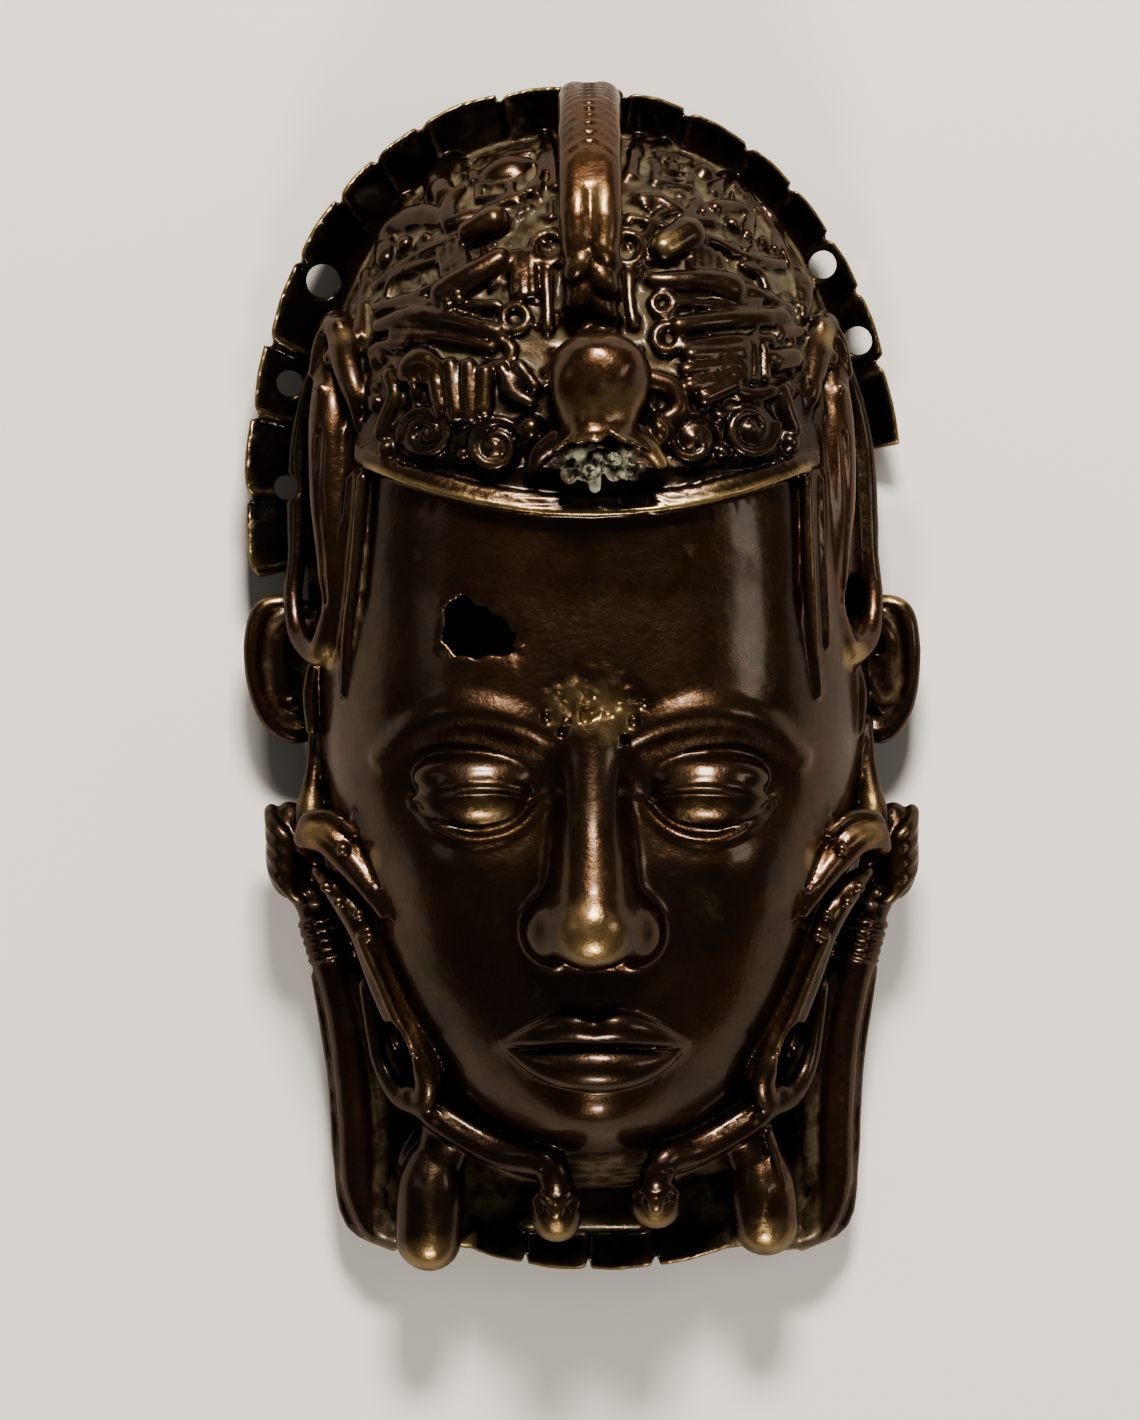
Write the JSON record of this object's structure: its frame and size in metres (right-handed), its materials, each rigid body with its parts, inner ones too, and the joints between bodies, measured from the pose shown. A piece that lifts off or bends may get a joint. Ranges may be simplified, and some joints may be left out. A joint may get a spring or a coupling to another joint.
{
  "type": "hip mask",
  "caption": "Cast brass hip mask: a hollow oval head with a tall cap, pleated flange, creatures at the cheeks, arms at the jaw and a plaited loop above.",
  "frame": {"origin": "under the middle of the casting's box, in the plane of the back rim", "axes": "+Z out of the face, +Y towards the crown, +X towards the viewer's right"},
  "size_m": [0.1126, 0.1978, 0.0646],
  "materials": {
    "patinated_brass": "glossy dark brown patina, worn to bare brass on the high places"
  },
  "bodies": {
    "root": {"mask": "patinated_brass"}
  },
  "joints": []
}
